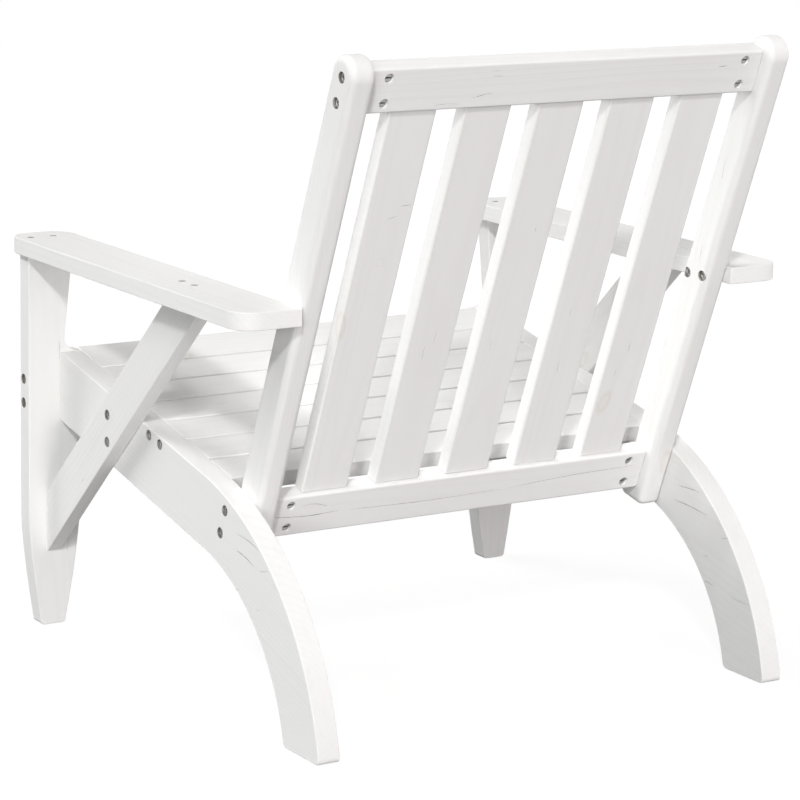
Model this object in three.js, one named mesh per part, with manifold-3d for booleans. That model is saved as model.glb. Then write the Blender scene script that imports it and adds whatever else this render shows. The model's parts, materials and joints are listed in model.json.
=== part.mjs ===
// Adirondack chair in painted pine: sloping side boards that bend down into the rear legs, shaped
// front legs, diagonal braces, flat armrests, a reclined slatted back and a slatted seat, held by
// sunk bolts and barrel nuts.
// Millimetres. +Z is up, the chair faces -Y and +X is the sitter's left. While it is built, y = 0 is
// the rear face of the front legs; at the end the origin moves to the middle of the footprint.
import * as THREE from "three";
import { mergeVertices } from "three/addons/utils/BufferGeometryUtils.js";
import Module from "manifold-3d";

const wasm = await Module();
wasm.setup();

// ---------------------------------------------------------------- driving dimensions
const CLEARANCE = 0.3; // between pieces that touch
const degrees = THREE.MathUtils.degToRad;

const SIDE_OUTER_X = 302.5; // half the width over the side boards
const SIDE_THICKNESS = 26;
const SIDE_DEPTH = 79; // across the straight rail
const SEAT_SLOPE = degrees(11.8);
const SEAT_FRONT_HEIGHT = 324.5; // top of the rail at its front end
const BEND_START_Y = 341;
const BEND_TOP_RADIUS = 316;
const BEND_UNDER_RADIUS = 226;
const REAR_FOOT_ROUND = 7;

const LEG_OUTER_X = 343;
const LEG_THICKNESS = 22;
const LEG_TOP_WIDTH = 56;
const LEG_NECK_WIDTH = 46;
const LEG_NECK_ABOVE_SEAT = 18;
const LEG_FOOT_WIDTH = 32;
const LEG_FOOT_INSET = 15; // from the outer edge to the foot
const LEG_FOOT_ROUND = 6;
const LEG_TAPER_HEIGHT = 138;
const LEG_OUTER_FULLNESS = 0.7; // share of the taper's height that steers the outer curve
const LEG_INNER_FULLNESS = 0.5;

const ARM_OUTER_X = 350;
const ARM_TOP_HEIGHT = 458.5;
const ARM_THICKNESS = 19;
const ARM_FRONT_OVERHANG = 20; // past the front face of the leg
const ARM_REAR_OVERHANG = 10; // past the rear face of the post
const ARM_CORNER_RADIUS = 30;

const BRACE_THICKNESS = 18;
const BRACE_DEPTH = 52.5;
const BRACE_ANGLE = degrees(43.8);
const BRACE_FOOT_HEIGHT = 88; // lower corner on the front leg

const BACK_RECLINE = degrees(20.4);
const BACK_LINE_Y = 280.5; // where the front of the posts, drawn on, meets the floor
const POST_THICKNESS = 29;
const POST_DEPTH = 41.5;
const BACK_RAIL_THICKNESS = 22;
const BACK_RAIL_SETBACK = 7; // behind the front of the posts
const BACK_RAIL_DEPTH = 50;
const LOWER_RAIL_ABOVE_POST_END = 24.5; // its lower edge, along the slope of the back
const TOP_RAIL_UP = 716.5; // its lower edge, up the slope from the floor
const POST_PAST_TOP_RAIL = 61.5; // from that edge to the end of the post
const BACK_SLAT_COUNT = 5;
const BACK_SLAT_WIDTH = 57;
const BACK_SLAT_THICKNESS = 17;
const BACK_SLAT_PITCH = 91.5;

const SEAT_SLAT_COUNT = 6; // behind the wider nosed slat
const SEAT_SLAT_WIDTH = 48.5;
const SEAT_SLAT_THICKNESS = 18;
const SEAT_SLAT_GAP = 3.5;
const NOSE_SLAT_WIDTH = 67.5;
const NOSE_OVERHANG = 16; // in front of the rails
const CLEAT_WIDTH = 20;
const CLEAT_HEIGHT = 22;
const CLEAT_INSET = 5; // behind the front end of the rail
const APRON_THICKNESS = 16;
const APRON_DEPTH = 60;

const BOLT_HEAD_RADIUS = 5.6;
const BOLT_HEAD_HEIGHT = 3;
const BOLT_SHANK_RADIUS = 3;
const HEAD_RECESS = 5.5; // from the wood's face down to the seat of the head
const LEG_HEAD_RECESS = 22;
const NUT_RADIUS = 4.8;
const NUT_LENGTH = 14;
const NUT_RECESS = 2.5;
const NUT_FROM_POST = 23;
const BOLT_PAIR_PITCH = 28;
const BRACE_BOLT_PITCH = 31;
const ARM_BOLT_PITCH = 26;
const SLAT_BOLT_PITCH = 26;
const BOLTED_SLAT = 3; // the slat behind the nosed one that the side boards are bolted to
const BRACE_BOLT_SETBACK = 15; // behind the crossing of the brace with the rail
const BRACE_BOLT_RISE = 11; // of the pair's middle above the crossing
const LEG_BOLT_BELOW_SEAT = 31;
const BACK_BOLT_SETBACK = 22; // behind the front of the post
const RAIL_BOLT_LENGTH = 60;
const LOWER_RAIL_BOLT_LENGTH = 86;
const APRON_BOLT_GRIP = 35; // into the end of the apron
const BRACE_BOLT_LENGTH = 34;
const SLAT_BOLT_LENGTH = 50;
const ARM_BOLT_LENGTH = 50;

const CURVE_STEPS = 14;
const ROUND_STEPS = 12;
const WELD_DISTANCE = 1e-4;

// ---------------------------------------------------------------- sizes that follow from them
const SIDE_INNER_X = SIDE_OUTER_X - SIDE_THICKNESS;
const POST_OUTER_X = SIDE_INNER_X - CLEARANCE;
const POST_INNER_X = POST_OUTER_X - POST_THICKNESS;
const ARM_UNDERSIDE = ARM_TOP_HEIGHT - ARM_THICKNESS;
const LOWER_RAIL_UP = postBottom() + LOWER_RAIL_ABOVE_POST_END;
const POST_TOP_UP = TOP_RAIL_UP + POST_PAST_TOP_RAIL;
const LEG_FRONT_Y = -LEG_THICKNESS;
const BRACE_INNER_X = SIDE_OUTER_X + CLEARANCE;
const BRACE_OUTER_X = BRACE_INNER_X + BRACE_THICKNESS;
const SEAT_SLAT_HALF_LENGTH = SIDE_INNER_X - CLEARANCE;
const SEAT_SLAT_PITCH = SEAT_SLAT_WIDTH + SEAT_SLAT_GAP;
const FIRST_SEAT_SLAT = NOSE_SLAT_WIDTH - NOSE_OVERHANG + SEAT_SLAT_GAP;
const APRON_TOP =
  railTop(LEG_FRONT_Y + APRON_THICKNESS) - SEAT_SLAT_THICKNESS / Math.cos(SEAT_SLOPE) - CLEARANCE;

function railTop(y) {
  return SEAT_FRONT_HEIGHT - y * Math.tan(SEAT_SLOPE);
}

function railUnder(y) {
  return railTop(y) - SIDE_DEPTH / Math.cos(SEAT_SLOPE);
}

function postFront(height) {
  return BACK_LINE_Y + height * Math.tan(BACK_RECLINE);
}

// The post ends where its front meets the underside of the rail, measured up the slope of the back.
function postBottom() {
  const rise = railUnder(BACK_LINE_Y);
  return rise / (Math.cos(BACK_RECLINE) + Math.sin(BACK_RECLINE) * Math.tan(SEAT_SLOPE));
}

// ---------------------------------------------------------------- materials
const paintedPine = new THREE.MeshStandardMaterial({
  color: 0xe6e5e2,
  roughness: 0.5,
  metalness: 0,
});
const steel = new THREE.MeshStandardMaterial({ color: 0x8f9092, roughness: 0.35, metalness: 1 });

// ---------------------------------------------------------------- frames
// A board's outline is drawn in the plane of its broad face and extruded through its thickness.
const ALONG_X = new THREE.Matrix4().makeBasis(
  new THREE.Vector3(0, 1, 0),
  new THREE.Vector3(0, 0, 1),
  new THREE.Vector3(1, 0, 0),
);
const ALONG_MINUS_Y = new THREE.Matrix4().makeBasis(
  new THREE.Vector3(1, 0, 0),
  new THREE.Vector3(0, 0, 1),
  new THREE.Vector3(0, -1, 0),
);

const chair = new THREE.Group();
const back = new THREE.Group();
back.position.y = BACK_LINE_Y;
back.rotation.x = -BACK_RECLINE;
const seat = new THREE.Group();
seat.position.z = SEAT_FRONT_HEIGHT;
seat.rotation.x = -SEAT_SLOPE;
chair.add(back, seat);

const wood = new Map();

function addWood(name, geometry, parent = chair) {
  const mesh = new THREE.Mesh(geometry, paintedPine.clone());
  mesh.name = name;
  parent.add(mesh);
  wood.set(name, mesh);
  return mesh;
}

function extruded(outline, thickness, basis) {
  const geometry = new THREE.ExtrudeGeometry(outline, {
    depth: thickness,
    bevelEnabled: false,
    curveSegments: CURVE_STEPS,
  });
  return geometry.applyMatrix4(basis);
}

// ---------------------------------------------------------------- side boards
function bendCentre(radius, edgeHeight) {
  return {
    y: BEND_START_Y - radius * Math.sin(SEAT_SLOPE),
    z: edgeHeight - radius * Math.cos(SEAT_SLOPE),
  };
}

function angleAtHeight(centre, radius, height) {
  return Math.asin((height - centre.z) / radius);
}

function sideOutline() {
  const top = bendCentre(BEND_TOP_RADIUS, railTop(BEND_START_Y));
  const under = bendCentre(BEND_UNDER_RADIUS, railUnder(BEND_START_Y));
  const heel = top.y + Math.sqrt(BEND_TOP_RADIUS ** 2 - top.z ** 2);
  const toe = under.y + Math.sqrt(BEND_UNDER_RADIUS ** 2 - under.z ** 2);
  const bendStart = Math.PI / 2 - SEAT_SLOPE;
  const heelRound = angleAtHeight(top, BEND_TOP_RADIUS, REAR_FOOT_ROUND);
  const toeRound = angleAtHeight(under, BEND_UNDER_RADIUS, REAR_FOOT_ROUND);
  const outline = new THREE.Shape();
  outline.moveTo(CLEARANCE, railUnder(CLEARANCE));
  outline.lineTo(CLEARANCE, railTop(CLEARANCE));
  outline.lineTo(BEND_START_Y, railTop(BEND_START_Y));
  outline.absarc(top.y, top.z, BEND_TOP_RADIUS, bendStart, heelRound, true);
  outline.quadraticCurveTo(heel, 0, heel - REAR_FOOT_ROUND, 0);
  outline.lineTo(toe + REAR_FOOT_ROUND, 0);
  outline.quadraticCurveTo(
    toe,
    0,
    under.y + BEND_UNDER_RADIUS * Math.cos(toeRound),
    REAR_FOOT_ROUND,
  );
  outline.absarc(under.y, under.z, BEND_UNDER_RADIUS, toeRound, bendStart, false);
  outline.closePath();
  return outline;
}

function addSideBoard(name, side) {
  const board = addWood(name, extruded(sideOutline(), SIDE_THICKNESS, ALONG_X));
  board.position.x = side > 0 ? SIDE_INNER_X : -SIDE_OUTER_X;
}

// ---------------------------------------------------------------- front legs
function legOutline(side) {
  const top = ARM_UNDERSIDE - CLEARANCE;
  const neck = SEAT_FRONT_HEIGHT + LEG_NECK_ABOVE_SEAT;
  const neckX = LEG_OUTER_X - LEG_NECK_WIDTH;
  const topX = LEG_OUTER_X - LEG_TOP_WIDTH;
  const footOuter = LEG_OUTER_X - LEG_FOOT_INSET;
  const footInner = footOuter - LEG_FOOT_WIDTH;
  const outline = new THREE.Shape();
  const x = (value) => side * value;
  outline.moveTo(x(footInner + LEG_FOOT_ROUND), 0);
  outline.lineTo(x(footOuter - LEG_FOOT_ROUND), 0);
  outline.quadraticCurveTo(x(footOuter), 0, x(footOuter), LEG_FOOT_ROUND);
  outline.quadraticCurveTo(
    x(LEG_OUTER_X),
    LEG_TAPER_HEIGHT * LEG_OUTER_FULLNESS,
    x(LEG_OUTER_X),
    LEG_TAPER_HEIGHT,
  );
  outline.lineTo(x(LEG_OUTER_X), top);
  outline.lineTo(x(topX), top);
  outline.quadraticCurveTo(x((topX + neckX) / 2), (top + neck) / 2, x(neckX), neck);
  outline.quadraticCurveTo(x(neckX), SEAT_FRONT_HEIGHT, x(SIDE_INNER_X), SEAT_FRONT_HEIGHT);
  outline.lineTo(x(SIDE_INNER_X), LEG_TAPER_HEIGHT);
  outline.quadraticCurveTo(
    x(SIDE_INNER_X + LEG_FOOT_ROUND),
    LEG_TAPER_HEIGHT * LEG_INNER_FULLNESS,
    x(footInner),
    LEG_FOOT_ROUND,
  );
  outline.quadraticCurveTo(x(footInner), 0, x(footInner + LEG_FOOT_ROUND), 0);
  return outline;
}

function addFrontLeg(name, side) {
  addWood(name, extruded(legOutline(side), LEG_THICKNESS, ALONG_MINUS_Y));
}

// ---------------------------------------------------------------- braces and arms
function braceOutline() {
  const rise = Math.tan(BRACE_ANGLE);
  const lower = BRACE_FOOT_HEIGHT + CLEARANCE * rise;
  const upper = lower + BRACE_DEPTH / Math.cos(BRACE_ANGLE);
  const top = ARM_UNDERSIDE - CLEARANCE;
  const outline = new THREE.Shape();
  outline.moveTo(CLEARANCE, lower);
  outline.lineTo(CLEARANCE + (top - lower) / rise, top);
  outline.lineTo(CLEARANCE + (top - upper) / rise, top);
  outline.lineTo(CLEARANCE, upper);
  outline.closePath();
  return outline;
}

// Where the middle line of a brace crosses the middle line of its side board.
function braceCrossing() {
  const railMiddle = SEAT_FRONT_HEIGHT - SIDE_DEPTH / 2 / Math.cos(SEAT_SLOPE);
  const braceMiddle = BRACE_FOOT_HEIGHT + BRACE_DEPTH / 2 / Math.cos(BRACE_ANGLE);
  const y = (railMiddle - braceMiddle) / (Math.tan(BRACE_ANGLE) + Math.tan(SEAT_SLOPE));
  return { y, z: railMiddle - y * Math.tan(SEAT_SLOPE) };
}

function addBrace(name, side) {
  const brace = addWood(name, extruded(braceOutline(), BRACE_THICKNESS, ALONG_X));
  brace.position.x = side > 0 ? BRACE_INNER_X : -BRACE_OUTER_X;
}

function armOutline(side) {
  const inner = POST_OUTER_X + CLEARANCE;
  const front = LEG_FRONT_Y - ARM_FRONT_OVERHANG;
  const postRear = postFront(ARM_UNDERSIDE) + POST_DEPTH / Math.cos(BACK_RECLINE);
  const rear = postRear + ARM_REAR_OVERHANG;
  const radius = ARM_CORNER_RADIUS;
  const outline = new THREE.Shape();
  const x = (value) => side * value;
  outline.moveTo(x(inner), rear);
  outline.lineTo(x(inner), front + radius);
  outline.quadraticCurveTo(x(inner), front, x(inner + radius), front);
  outline.lineTo(x(ARM_OUTER_X - radius), front);
  outline.quadraticCurveTo(x(ARM_OUTER_X), front, x(ARM_OUTER_X), front + radius);
  outline.lineTo(x(ARM_OUTER_X), rear - radius);
  outline.quadraticCurveTo(x(ARM_OUTER_X), rear, x(ARM_OUTER_X - radius), rear);
  outline.closePath();
  return outline;
}

function addArm(name, side) {
  const arm = addWood(name, extruded(armOutline(side), ARM_THICKNESS, new THREE.Matrix4()));
  arm.position.z = ARM_UNDERSIDE;
}

// ---------------------------------------------------------------- back
// In the back group y runs through the back from front to rear and z runs up its slope.
function postOutline() {
  const radius = POST_DEPTH / 2;
  const bottom = (depth) => postBottom() + depth * Math.tan(BACK_RECLINE - SEAT_SLOPE);
  const outline = new THREE.Shape();
  outline.moveTo(0, bottom(0));
  outline.lineTo(POST_DEPTH, bottom(POST_DEPTH));
  outline.lineTo(POST_DEPTH, POST_TOP_UP - radius);
  outline.absarc(radius, POST_TOP_UP - radius, radius, 0, Math.PI, false);
  outline.closePath();
  return outline;
}

function addPost(name, side) {
  const post = addWood(name, extruded(postOutline(), POST_THICKNESS, ALONG_X), back);
  post.position.x = side > 0 ? POST_INNER_X : -POST_OUTER_X;
}

function addBackRail(name, up) {
  const length = 2 * (POST_INNER_X - CLEARANCE);
  const rail = addWood(
    name,
    new THREE.BoxGeometry(length, BACK_RAIL_THICKNESS, BACK_RAIL_DEPTH),
    back,
  );
  rail.position.set(
    0,
    BACK_RAIL_SETBACK + BACK_RAIL_THICKNESS / 2,
    up + BACK_RAIL_DEPTH / 2,
  );
}

function addBackSlats() {
  const bottom = LOWER_RAIL_UP + BACK_RAIL_DEPTH + CLEARANCE;
  const top = TOP_RAIL_UP - CLEARANCE;
  for (let i = 0; i < BACK_SLAT_COUNT; i++) {
    const slat = addWood(
      `back_slat_${i + 1}`,
      new THREE.BoxGeometry(BACK_SLAT_WIDTH, BACK_SLAT_THICKNESS, top - bottom),
      back,
    );
    slat.position.set(
      ((BACK_SLAT_COUNT - 1) / 2 - i) * BACK_SLAT_PITCH,
      BACK_RAIL_SETBACK + BACK_SLAT_THICKNESS / 2,
      (top + bottom) / 2,
    );
  }
}

// ---------------------------------------------------------------- seat
// In the seat group y runs down the slope from the front of the rails and z stands off the seat.
function addNoseSlat() {
  const radius = SEAT_SLAT_THICKNESS / 2;
  const outline = new THREE.Shape();
  outline.moveTo(NOSE_SLAT_WIDTH - NOSE_OVERHANG, 0);
  outline.lineTo(radius - NOSE_OVERHANG, 0);
  outline.absarc(radius - NOSE_OVERHANG, -radius, radius, Math.PI / 2, -Math.PI / 2, false);
  outline.lineTo(NOSE_SLAT_WIDTH - NOSE_OVERHANG, -SEAT_SLAT_THICKNESS);
  outline.closePath();
  const slat = addWood(
    "seat_slat_front",
    extruded(outline, 2 * SEAT_SLAT_HALF_LENGTH, ALONG_X),
    seat,
  );
  slat.position.x = -SEAT_SLAT_HALF_LENGTH;
}

function seatSlatCentre(index) {
  return FIRST_SEAT_SLAT + index * SEAT_SLAT_PITCH + SEAT_SLAT_WIDTH / 2;
}

function addSeatSlats() {
  for (let i = 0; i < SEAT_SLAT_COUNT; i++) {
    const slat = addWood(
      `seat_slat_${i + 1}`,
      new THREE.BoxGeometry(2 * SEAT_SLAT_HALF_LENGTH, SEAT_SLAT_WIDTH, SEAT_SLAT_THICKNESS),
      seat,
    );
    slat.position.set(0, seatSlatCentre(i), -SEAT_SLAT_THICKNESS / 2);
  }
}

function addCleat(name, side) {
  const end = seatSlatCentre(SEAT_SLAT_COUNT - 1) + SEAT_SLAT_WIDTH / 2;
  const cleat = addWood(
    name,
    new THREE.BoxGeometry(CLEAT_WIDTH, end - CLEAT_INSET, CLEAT_HEIGHT),
    seat,
  );
  cleat.position.set(
    side * (SIDE_INNER_X - CLEARANCE - CLEAT_WIDTH / 2),
    (end + CLEAT_INSET) / 2,
    -SEAT_SLAT_THICKNESS - CLEARANCE - CLEAT_HEIGHT / 2,
  );
}

function addApron() {
  const apron = addWood(
    "front_apron",
    new THREE.BoxGeometry(2 * SEAT_SLAT_HALF_LENGTH, APRON_THICKNESS, APRON_DEPTH),
  );
  apron.position.set(0, LEG_FRONT_Y + APRON_THICKNESS / 2, APRON_TOP - APRON_DEPTH / 2);
}

// ---------------------------------------------------------------- drilling
function solidOf(geometry) {
  const bare = geometry.clone();
  bare.deleteAttribute("normal");
  bare.deleteAttribute("uv");
  const merged = mergeVertices(bare, WELD_DISTANCE);
  return new wasm.Manifold(
    new wasm.Mesh({
      numProp: 3,
      vertProperties: merged.attributes.position.array,
      triVerts: new Uint32Array(merged.index.array),
    }),
  );
}

function geometryOf(solid) {
  const mesh = solid.getMesh();
  const geometry = new THREE.BufferGeometry();
  geometry.setAttribute("position", new THREE.BufferAttribute(mesh.vertProperties, 3));
  geometry.setIndex(new THREE.BufferAttribute(mesh.triVerts, 1));
  return geometry;
}

function cut(mesh, cutters) {
  chair.updateMatrixWorld(true);
  const intoMesh = mesh.matrixWorld.clone().invert();
  let solid = solidOf(mesh.geometry);
  for (const cutter of cutters) {
    solid = solid.subtract(solidOf(cutter.clone().applyMatrix4(intoMesh)));
  }
  mesh.geometry = geometryOf(solid);
}

// A turned shape whose axis starts at the origin and runs along +X.
function turned(profile) {
  const points = profile.map(([radius, along]) => new THREE.Vector2(radius, along));
  return new THREE.LatheGeometry(points, ROUND_STEPS).rotateZ(-Math.PI / 2);
}

function placement(parent, at, direction) {
  const turn = new THREE.Matrix4();
  if (direction < 0) turn.makeRotationZ(Math.PI);
  chair.updateMatrixWorld(true);
  return parent.matrixWorld
    .clone()
    .multiply(new THREE.Matrix4().makeTranslation(...at))
    .multiply(turn);
}

function boltShape(length) {
  return turned([
    [0, 0],
    [BOLT_HEAD_RADIUS, 0],
    [BOLT_HEAD_RADIUS, BOLT_HEAD_HEIGHT],
    [BOLT_SHANK_RADIUS, BOLT_HEAD_HEIGHT],
    [BOLT_SHANK_RADIUS, BOLT_HEAD_HEIGHT + length],
    [0, BOLT_HEAD_HEIGHT + length],
  ]);
}

// The hole runs from outside the wood's face, through the head's recess, to just past the tip.
function boltHoleShape(length, recess) {
  const seatDepth = BOLT_HEAD_HEIGHT + CLEARANCE;
  return turned([
    [0, -recess],
    [BOLT_HEAD_RADIUS + CLEARANCE, -recess],
    [BOLT_HEAD_RADIUS + CLEARANCE, seatDepth],
    [BOLT_SHANK_RADIUS + CLEARANCE, seatDepth],
    [BOLT_SHANK_RADIUS + CLEARANCE, BOLT_HEAD_HEIGHT + length + CLEARANCE],
    [0, BOLT_HEAD_HEIGHT + length + CLEARANCE],
  ]);
}

const holes = new Map();

function addHole(woodNames, hole) {
  for (const name of woodNames) {
    holes.set(name, [...(holes.get(name) ?? []), hole]);
  }
}

function addHardware(name, geometry) {
  const mesh = new THREE.Mesh(geometry, steel.clone());
  mesh.name = name;
  chair.add(mesh);
}

// A bolt whose head is sunk into a face at x = faceX, pointing along X in the frame of parent.
function addBolt({ name, parent = chair, faceX, y, z, direction, length, recess, through }) {
  const headTop = recess - BOLT_HEAD_HEIGHT;
  const place = placement(parent, [faceX + direction * headTop, y, z], direction);
  const bolt = boltShape(length).applyMatrix4(place);
  addHardware(name, bolt);
  const hole = boltHoleShape(length, recess).applyMatrix4(place);
  addHole(through, hole);
  return hole;
}

// A barrel nut lies across the rail, behind its rear face, and the bolt passes through it.
function addBarrelNut({ name, x, up, rail, boltHole }) {
  const rear = BACK_RAIL_SETBACK + BACK_RAIL_THICKNESS;
  const cylinder = (radius, length) =>
    new THREE.CylinderGeometry(radius, radius, length, ROUND_STEPS);
  const nut = cylinder(NUT_RADIUS, NUT_LENGTH);
  const pocketLength = NUT_RECESS + NUT_LENGTH + CLEARANCE;
  const pocket = cylinder(NUT_RADIUS + CLEARANCE, 2 * pocketLength);
  nut.applyMatrix4(placement(back, [x, rear - NUT_RECESS - NUT_LENGTH / 2, up], 1));
  pocket.applyMatrix4(placement(back, [x, rear, up], 1));
  addHardware(name, geometryOf(solidOf(nut).subtract(solidOf(boltHole))));
  addHole([rail], pocket);
}

// ---------------------------------------------------------------- fasteners of one side
function addBackBolts(label, side, rail, railUp, faceX, length, through) {
  const middle = railUp + BACK_RAIL_DEPTH / 2;
  for (const [level, offset] of [
    ["upper", BOLT_PAIR_PITCH / 2],
    ["lower", -BOLT_PAIR_PITCH / 2],
  ]) {
    const up = middle + offset;
    const boltHole = addBolt({
      name: `${rail}_bolt_${label}_${level}`,
      parent: back,
      faceX: side * faceX,
      y: BACK_BOLT_SETBACK,
      z: up,
      direction: -side,
      length,
      recess: HEAD_RECESS,
      through: [...through, rail],
    });
    addBarrelNut({
      name: `${rail}_nut_${label}_${level}`,
      x: side * (POST_INNER_X - NUT_FROM_POST),
      up,
      rail,
      boltHole,
    });
  }
}

function addPair(common, names, first, step) {
  names.forEach((name, i) => {
    addBolt({
      ...common,
      name,
      y: first.y + i * step.y,
      z: first.z + i * step.z,
    });
  });
}

function addSideBolts(label, side) {
  const inward = -side;
  addBackBolts(label, side, "back_rail_top", TOP_RAIL_UP, POST_OUTER_X, RAIL_BOLT_LENGTH, [
    `back_post_${label}`,
  ]);
  addBackBolts(
    label,
    side,
    "back_rail_lower",
    LOWER_RAIL_UP,
    SIDE_OUTER_X,
    LOWER_RAIL_BOLT_LENGTH,
    [`side_board_${label}`, `back_post_${label}`],
  );
  addPair(
    {
      faceX: side * LEG_OUTER_X,
      direction: inward,
      length: LEG_OUTER_X - LEG_HEAD_RECESS - SIDE_INNER_X + APRON_BOLT_GRIP,
      recess: LEG_HEAD_RECESS,
      through: [`front_leg_${label}`, "front_apron"],
    },
    [`leg_bolt_${label}_upper`, `leg_bolt_${label}_lower`],
    { y: LEG_FRONT_Y + APRON_THICKNESS / 2, z: SEAT_FRONT_HEIGHT - LEG_BOLT_BELOW_SEAT },
    { y: 0, z: -BOLT_PAIR_PITCH },
  );
  const crossing = braceCrossing();
  addPair(
    {
      faceX: side * BRACE_OUTER_X,
      direction: inward,
      length: BRACE_BOLT_LENGTH,
      recess: HEAD_RECESS,
      through: [`arm_brace_${label}`, `side_board_${label}`],
    },
    [`brace_bolt_${label}_lower`, `brace_bolt_${label}_upper`],
    {
      y: crossing.y + BRACE_BOLT_SETBACK,
      z: crossing.z + BRACE_BOLT_RISE - BRACE_BOLT_PITCH / 2,
    },
    { y: 0, z: BRACE_BOLT_PITCH },
  );
  addPair(
    {
      parent: seat,
      faceX: side * SIDE_OUTER_X,
      direction: inward,
      length: SLAT_BOLT_LENGTH,
      recess: HEAD_RECESS,
      through: [`side_board_${label}`, `seat_slat_${BOLTED_SLAT + 1}`],
    },
    [`seat_bolt_${label}_front`, `seat_bolt_${label}_rear`],
    {
      y: seatSlatCentre(BOLTED_SLAT) - SLAT_BOLT_PITCH / 2,
      z: -SEAT_SLAT_THICKNESS / 2,
    },
    { y: SLAT_BOLT_PITCH, z: 0 },
  );
  const armMiddle = ARM_UNDERSIDE + ARM_THICKNESS / 2;
  addPair(
    {
      faceX: side * POST_INNER_X,
      direction: side,
      length: ARM_BOLT_LENGTH,
      recess: HEAD_RECESS,
      through: [`back_post_${label}`, `armrest_${label}`],
    },
    [`arm_bolt_${label}_front`, `arm_bolt_${label}_rear`],
    {
      y:
        postFront(armMiddle) +
        (POST_DEPTH / Math.cos(BACK_RECLINE) - ARM_BOLT_PITCH) / 2,
      z: armMiddle,
    },
    { y: ARM_BOLT_PITCH, z: 0 },
  );
}

// ---------------------------------------------------------------- the chair
const SIDES = [
  ["left", 1],
  ["right", -1],
];
for (const [label, side] of SIDES) {
  addSideBoard(`side_board_${label}`, side);
  addFrontLeg(`front_leg_${label}`, side);
  addBrace(`arm_brace_${label}`, side);
  addArm(`armrest_${label}`, side);
  addPost(`back_post_${label}`, side);
  addCleat(`seat_cleat_${label}`, side);
}
addBackRail("back_rail_top", TOP_RAIL_UP);
addBackRail("back_rail_lower", LOWER_RAIL_UP);
addBackSlats();
addNoseSlat();
addSeatSlats();
addApron();
for (const [label, side] of SIDES) {
  addSideBolts(label, side);
}
for (const [name, cutters] of holes) {
  cut(wood.get(name), cutters);
}

const extent = new THREE.Box3().setFromObject(chair, true);
chair.position.y = -(extent.min.y + extent.max.y) / 2;

export default chair;
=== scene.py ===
"""Adirondack chair in white-painted knotty pine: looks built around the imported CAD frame.

Metres, +Z up. The chair faces -Y and +X is the sitter's left. Each wooden piece is made again from
its CAD outline, with rounded edges, drilled holes with chipped rims, cracks and a knot. The bolts,
barrel nuts and screws are modelled in full.
"""

import json
import math
import random

import bmesh
import bpy
from mathutils import Matrix, Vector, noise

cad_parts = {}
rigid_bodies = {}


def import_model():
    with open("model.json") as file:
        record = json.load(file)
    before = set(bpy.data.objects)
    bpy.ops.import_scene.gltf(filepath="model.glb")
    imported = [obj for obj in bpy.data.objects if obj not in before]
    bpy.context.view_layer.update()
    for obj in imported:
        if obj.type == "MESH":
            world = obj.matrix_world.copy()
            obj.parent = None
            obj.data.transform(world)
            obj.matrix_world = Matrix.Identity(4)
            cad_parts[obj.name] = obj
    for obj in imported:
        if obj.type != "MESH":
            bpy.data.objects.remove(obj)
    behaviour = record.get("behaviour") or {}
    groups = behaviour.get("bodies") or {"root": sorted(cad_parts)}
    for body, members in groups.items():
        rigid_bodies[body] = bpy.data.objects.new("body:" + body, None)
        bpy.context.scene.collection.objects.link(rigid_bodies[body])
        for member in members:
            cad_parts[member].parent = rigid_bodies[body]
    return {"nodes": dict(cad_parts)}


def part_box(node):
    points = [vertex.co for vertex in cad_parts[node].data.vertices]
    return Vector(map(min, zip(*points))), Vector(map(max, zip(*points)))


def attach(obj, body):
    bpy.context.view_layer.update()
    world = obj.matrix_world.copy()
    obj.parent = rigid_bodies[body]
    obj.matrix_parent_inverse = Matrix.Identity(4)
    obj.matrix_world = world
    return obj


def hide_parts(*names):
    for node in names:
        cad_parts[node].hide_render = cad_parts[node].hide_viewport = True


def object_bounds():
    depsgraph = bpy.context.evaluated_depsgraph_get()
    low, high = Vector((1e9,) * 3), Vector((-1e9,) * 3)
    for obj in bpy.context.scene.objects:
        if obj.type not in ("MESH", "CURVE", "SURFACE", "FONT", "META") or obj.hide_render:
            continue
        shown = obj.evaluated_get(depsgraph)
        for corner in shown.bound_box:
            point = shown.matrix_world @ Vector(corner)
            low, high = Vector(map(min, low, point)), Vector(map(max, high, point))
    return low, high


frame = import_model()
cad_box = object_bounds()
NODES = sorted(frame["nodes"])
HARDWARE = [n for n in NODES if "_bolt_" in n or "_nut_" in n]
WOOD = [n for n in NODES if n not in HARDWARE]
SIDES = (("left", 1), ("right", -1))

# ---------------------------------------------------------------- sizes
MM = 0.001
X, Y, Z = 0, 1, 2
LOW, HIGH = 0, 1

# how near, flat, sharp or square counts as so
WELD = 0.002 * MM
SLIVER = 0.001 * MM
CAD_WELD = 0.01 * MM
CAD_FLATNESS = 0.02 * MM
PARALLEL = 0.995
SQUARE = 0.1
SHARP = math.radians(35)
CURVED = math.radians(0.8)
LONG_CHORD = 45 * MM
STRAIGHT_SHARE = 2.5
SCUFFED_ANGLE = math.radians(70)

# rounded edges, and the steps in curves
POST_ROUND = 8 * MM
ARM_ROUND = 1.0 * MM
RAIL_ROUND = 2.8 * MM
SLAT_ROUND = 2.2 * MM
BOARD_ROUND = 1.1 * MM
SMALL_ROUND = 1.1 * MM
ROUND_STEPS = 5
CORNER_STEP = math.radians(14)
CORNER_STEPS_LEAST = 3
CORNER_ROOM = 0.45
TURN_STEPS = 36
SMALL_TURN_STEPS = 24

CLEARANCE = 0.3 * MM
OVERCUT = 1.5 * MM

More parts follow.
